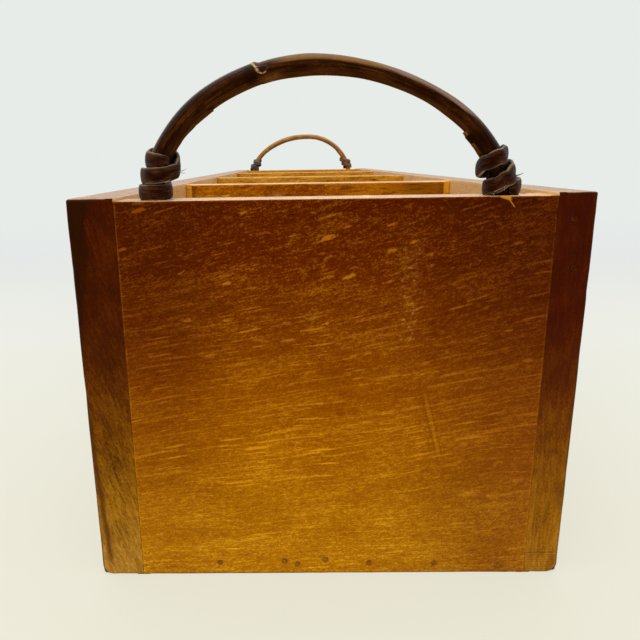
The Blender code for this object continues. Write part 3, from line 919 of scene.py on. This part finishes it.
def build_binding(name, node, path, side, table, wide, finish, seed):
    """A strip of cane bark wound up one foot as the table says, on the right (1) or left (-1) leg."""
    level = path[0][1].y
    points, centres, sizes = [], [], []
    for way in range(table[0][0], table[-1][0] + 1, STRIP_STEP):
        angle = math.radians(way)
        height, reach = reading(table, way)
        reach += 0.00010 * shake(way * 0.02, seed, 0)
        centre = Vector((middle_at(path, side, height), level, PANEL_TOP + height))
        deep = math.copysign(min(reach, STRIP_DEPTH), -level) * math.sin(angle)
        points.append(centre + Vector((math.cos(angle) * reach, deep, 0)))
        centres.append(centre)
        sizes.append(wide * (1 + 0.05 * shake(way * 0.015, seed + 5, 0)))
    rings, rows = [], []
    total = 0.0
    for step, (point, centre, size) in enumerate(zip(points, centres, sizes)):
        before, after = beside(points, step)
        total += (point - before).length
        ahead = (after - before).normalized()
        up = ahead.cross(point - centre).normalized()
        up *= math.copysign(1, up.z)
        out = up.cross(ahead).normalized()
        out *= math.copysign(1, out.dot(point - centre))
        end = min(step, len(points) - 1 - step, 3) / 3
        taper = 0.60 + 0.40 * math.sin(end * math.pi / 2)
        ring = []
        for thick, across in STRIP_SECTION:
            ripple = 1 + 0.06 * shake(total * 260, across * 6, seed)
            ripple += 0.03 * shake(total * 900, across * 9, seed)
            deep = out * thick * STRIP_THICKNESS
            ring.append(point + (deep + up * across * size * ripple) * taper)
            # The edges' painted highlight.
            edge_highlight = max(0.0, min(1.0, (abs(across) - 0.38) / 0.10))
            rows.append((total, across, edge_highlight, 1.0 if thick < -0.2 else 0.0))
        rings.append(ring)
    add_piece(swept(name, rings, STRIP_MARKS, rows), finish, "binding_strip", node)


def strip_material(name, tones, tint, seed):
    """Bark strip: fibres along it, a painted highlight on its edges and a dark inner side. tones are its
    dark, middle and light ones and the edges' painted highlight."""
    dark, middle, light, edge_highlight = tones
    g = Finish(name)
    threads = g.join(g.mark("way") * (1 / MM), g.mark("across") * STRIP_WIDTH, 0.0)
    fibre = g.noise(threads, (7, 0.30, 1), seed, 3.0, 0.6)
    cloud = g.noise(threads, (6, 2.5, 1), seed + 3.0, 3.0, 0.6)
    level = fibre * 0.9 + cloud * 0.7
    g.colour = g.ramp(level.line(0.56, 1.04), (0.0, dark), (0.5, middle), (1.0, light))
    g.paint(edge_highlight, g.mark("edge_highlight") * level.span(0.62, 0.92, 0.05, 0.50))
    g.paint(dark, g.mark("inside") * 0.7)
    return g.surface(cloud.line(0.3, 0.7, 0.34, 0.55), tint, g.bump(level, 0.45, 0.8))


# Each sheath: way from the right socket, how far its face lies inside the arch, and its thickness, in mm.
RIGHT_SHEATH = ((20.0, 7.0, 1.2), (27.0, 6.4, 1.2), (32.0, 6.2, 1.15), (36.0, 6.1, 1.1), (40.0, 5.8, 1.3),
                (43.4, 5.6, 1.5))
LEFT_SHEATH = ((151.8, 4.75, 1.5), (156.0, 4.65, 1.5), (162.0, 4.4, 1.5), (168.0, 4.1, 1.5),
                (177.0, 4.2, 1.2), (181.5, 5.6, 2.2), (187.0, 5.9, 2.4))
SHEATH_STEPS = 30
SHEATH_SIDES = 16
# How far a sheath's middle stands out, and how wide its curve is.
SHEATH_BULGE = 0.0016
SHEATH_CURVE = 0.0040


def build_sheath(name, table, wide, gold, black, finish, seed):
    """A dried leaf sheath left on the inner side of the near cane, from its torn top down into the binding.

    gold is how strongly its open part turns gold, partly wear and partly painted light, and black the ways
    between which it lies in the dark, painted black as shade."""
    stations = arch_stations(FRONT_PEAK, -HANDLE_LEVEL)
    spacing = sum((there - here).length for here, there in zip(stations, stations[1:])) / CANE_STATIONS
    start, end = table[0][0] * MM, table[-1][0] * MM
    rings, rows = [], []
    for step in range(SHEATH_STEPS + 1):
        way = start + (end - start) * step / SHEATH_STEPS
        spot = int(way / spacing)
        place = stations[spot].lerp(stations[spot + 1], way / spacing - spot)
        inward = (stations[spot + 1] - stations[spot - 1]).cross(Vector((0, 1, 0))).normalized()
        reach, thick = reading(table, way / MM)
        reach += 0.00012 * shake(way * 500, seed, 0)
        torn = min(1.0, 0.6 + 0.2 * min(step, SHEATH_STEPS - step))
        half = wide * torn * (1 + 0.12 * shake(way * 300, seed + 4, 0))
        # Painted shade where the sheath lies in the dark, and its gold as wear and painted light.
        hidden = 0.9 * within(way, *black, -0.002, 0.002)
        wear_and_light = gold * falloff(0.0375 - way, -0.001, 0.003)
        ring = []
        for side in range(SHEATH_SIDES):
            angle = math.tau * side / SHEATH_SIDES
            over, up = (math.copysign(abs(part) ** 0.7, part) for part in (math.sin(angle), math.cos(angle)))
            across = over * half
            deep = reach - thick / 2 + up * thick / 2
            deep -= SHEATH_BULGE * (1 - math.sqrt(max(0.0, 1 - (across / SHEATH_CURVE) ** 2)))
            ring.append(place + inward * deep + Vector((0, across, 0)))
            # The whole sheath takes the under side's painted light.
            rows.append((way, side / SHEATH_SIDES, 1.0, hidden, wear_and_light, 0.0))
        rings.append(ring)
    add_piece(swept(name, rings, CANE_MARKS, rows), finish, "dark_cane")


# Loose hairs and splinters of the near strips: the thickness of each, then its points across the box, in
# front of the handle's middle and over the panel, all in mm.
FRONT_STRANDS = (
    (0.80, (69.6, 3.5, 7.1), (71.3, 3.8, 7.3), (73.1, 4.0, 8.1)),
    (0.50, (61.6, 6.7, 1.4), (63.4, 7.0, 2.3), (65.2, 7.1, 3.2), (66.4, 7.0, 4.3)),
    (0.45, (65.3, 7.2, 3.4), (65.2, 7.2, 1.8)),
    (0.70, (-62.0, 6.2, 6.6), (-60.9, 6.4, 7.0), (-60.2, 6.4, 7.7)),
    (0.34, (-57.0, 3.6, 10.6), (-55.4, 3.9, 10.8), (-54.2, 4.0, 11.6)),
    (0.30, (-57.0, 3.8, 10.2), (-55.4, 4.2, 9.9), (-54.6, 4.3, 10.0)),
)
STRAND_SIDES = 6


def build_fibres(name, strands, finish):
    vertices, faces, rows = [], [], []
    for thick, *points in strands:
        path = [Vector((x * MM, -HANDLE_LEVEL - deep * MM, PANEL_TOP + high * MM))
                for x, deep, high in points]
        smoothed = [here.lerp(there, part / 4) for here, there in zip(path, path[1:]) for part in range(4)]
        smoothed.append(path[-1])
        for turn in range(2):
            between = [(a + b * 2 + c) / 4 for a, b, c in zip(smoothed, smoothed[1:], smoothed[2:])]
            smoothed = [smoothed[0], *between, smoothed[-1]]
        last = len(smoothed) - 1
        faces += tube_faces(len(vertices), last + 1, STRAND_SIDES)
        for step, point in enumerate(smoothed):
            before, after = beside(smoothed, step)
            ahead = (after - before).normalized()
            first = ahead.orthogonal().normalized()
            second = ahead.cross(first)
            share = step / last
            radius = thick * MM / 2 * (1.0 - 0.75 * share)
            for side in range(STRAND_SIDES):
                angle = math.tau * side / STRAND_SIDES
                vertices.append(point + (first * math.cos(angle) + second * math.sin(angle)) * radius)
                rows.append((share * 0.01, side / STRAND_SIDES, 1.0, 0.0))
    add_piece(new_mesh(name, vertices, faces, STRIP_MARKS, rows), finish, "binding_strip")


def build_handles():
    # Each cane's last three tones: the under side's painted light, the crown's gold of wear and painted
    # highlight, and the painted sheen.
    dark_cane = cane_material(
        "smoked_cane", ((6, 0, 0), (24, 5, 0), (74, 38, 8), (76, 40, 8), (124, 84, 32), (144, 112, 92)),
        (0.20, 0.06, 0.01, 1.0), 3.0, (128.2, 5.2))
    amber_cane = cane_material(
        "amber_cane",
        ((96, 52, 12), (148, 98, 38), (204, 154, 84), (112, 62, 16), (176, 130, 66), (190, 148, 92)),
        (0.6, 0.4, 0.2, 1.0), 23.0)
    dark_tint = (0.10, 0.02, 0.0, 1.0)
    # Each strip's last tone is the painted highlight on its edges.
    brown = strip_material("brown_strip", ((4, 0, 0), (34, 10, 2), (82, 46, 24), (170, 144, 116)),
                           dark_tint, 5.0)
    rosy = strip_material("rosy_strip", ((52, 26, 14), (110, 76, 52), (160, 122, 96), (176, 142, 116)),
                          dark_tint, 11.0)
    grey = strip_material("grey_strip", ((30, 32, 32), (70, 70, 66), (112, 110, 104), (150, 146, 138)),
                          dark_tint, 15.0)
    pale = strip_material("pale_fibre", ((96, 66, 46), (132, 98, 72), (166, 132, 104), (140, 106, 80)),
                          (1.0, 1.0, 1.0, 1.0), 25.0)
    front = cane_path(FRONT_PEAK, -HANDLE_LEVEL, FRONT_RUN)
    back = cane_path(BACK_PEAK, HANDLE_LEVEL, BACK_RUN)
    build_cane("bent_cane_front", "handle_cane_front", front, dark_cane, "dark_cane", 1.0,
               (0.1295, 0.00018, 0.0016), (0.0780, 0.1240),
               ((0.018, 0.0432, 0.0013, 1.25), (0.1500, 0.1700, 0.0, 0.95), (0.1765, 0.2000, 0.0, 1.45)))
    build_cane("bent_cane_back", "handle_cane_back", back, amber_cane, "amber_cane", 2.0,
               (0.070, 0.00012, 0.0020), (0.060, 0.150), ())
    build_sheath("sheath_front_right", RIGHT_SHEATH, 0.0023, 0.7, (0.016, 0.0325), dark_cane, 1.0)
    build_sheath("sheath_front_left", LEFT_SHEATH, 0.0025, 0.0, (0.1755, 0.190), dark_cane, 2.0)
    for place, path, side, table, wide, finish, seed in (
            ("front_left", front, -1, FRONT_LEFT_WINDING, 0.0061, brown, 3.0),
            ("front_right", front, 1, FRONT_RIGHT_WINDING, 0.0060, brown, 5.0),
            ("back_left", back, -1, BACK_LEFT_WINDING, 0.0060, grey, 7.0),
            ("back_right", back, 1, BACK_RIGHT_WINDING, 0.0058, rosy, 9.0)):
        build_binding("wound_strip_" + place, "binding_" + place, path, side, table, wide, finish, seed)
    build_fibres("loose_fibres_front", FRONT_STRANDS, pale)


# Floor, light and camera
WALL = (231, 236, 233)
FLOOR_SIZE = 14.0


def build_stage():
    g = Finish("pale_floor")
    colour = g.ramp(g.y.line(-400, 1400), (0.0, (234, 232, 215)), (0.10, (234, 234, 220)),
                    (0.22, (234, 235, 227)), (0.40, (229, 231, 227)), (0.52, (229, 232, 231)),
                    (1.0, WALL))
    horizon = g.length(g.x, g.y).span(1000, 3000)
    colour = g.mix(horizon, colour, WALL)
    diffuse = g.out("BsdfDiffuse", {"Color": colour})
    glow = g.out("Emission", {"Color": colour})
    seen = g.seen() * g.math("MAXIMUM", g.y.span(200, 620), horizon).line(0, 1, 0.72, 1.0)
    blend = g.out("MixShader", {0: seen, 1: diffuse, 2: glow})
    g.add("OutputMaterial", {"Surface": blend})
    corners = [(x * FLOOR_SIZE, y * FLOOR_SIZE, 0) for x, y in ((-1, -1), (1, -1), (1, 1), (-1, 1))]
    mesh = new_mesh("floor", corners, [(0, 1, 2, 3)])
    mesh.materials.append(g.owner)
    floor = new_object("floor", mesh)


def build_world():
    """Soft light all round, with the pale wall's colour where the camera sees it."""
    g = Graph(bpy.data.worlds.new("pale_studio"))
    light = g.out("Background", {"Color": (1.0, 0.995, 0.985, 1.0), "Strength": 0.82})
    wall = g.out("Background", {"Color": tone(WALL)})
    blend = g.out("MixShader", {0: g.seen(), 1: light, 2: wall})
    g.add("OutputWorld", {"Surface": blend})
    bpy.context.scene.world = g.owner


def add_lamp(name, place, aim, size, power):
    lamp = bpy.data.lights.new(name, "AREA")
    lamp.size = size
    lamp.energy = power
    holder = new_object(name, lamp)
    holder.location = place
    holder.rotation_mode = "QUATERNION"
    holder.rotation_quaternion = (Vector(aim) - Vector(place)).to_track_quat("-Z", "Y")


# The photo's camera, fitted to the corners of the box: place in metres, turns in degrees, lens in mm.
CAMERA_PLACE = (-0.01411, -0.61084, 0.17668)
CAMERA_YAW, CAMERA_PITCH, CAMERA_ROLL = 0.858, -14.616, 0.871
CAMERA_LENS = 34.276
CAMERA_SHIFT = 0.05456


def build_camera():
    camera = bpy.data.cameras.new("photo_camera")
    camera.lens = CAMERA_LENS
    camera.shift_x = CAMERA_SHIFT
    camera.clip_start = 0.01
    place = Matrix.Translation(CAMERA_PLACE)
    for degrees, axis in ((CAMERA_YAW, "Z"), (CAMERA_PITCH, "X"), (CAMERA_ROLL, "Y"), (90.0, "X")):
        place = place @ Matrix.Rotation(math.radians(degrees), 4, axis)
    holder = new_object("photo_camera", camera)
    holder.matrix_world = place
    bpy.context.scene.camera = holder


bpy.context.scene.view_settings.view_transform = "Standard"
build_boards()
dress_brads()
build_handles()
build_stage()
build_world()
add_lamp("overhead", (-0.1, -0.3, 1.9), (0, -0.05, 0.05), 1.8, 13)
add_lamp("front_fill", (-0.6, -2.3, 1.3), (0, -0.2, 0.1), 1.6, 15)
build_camera()
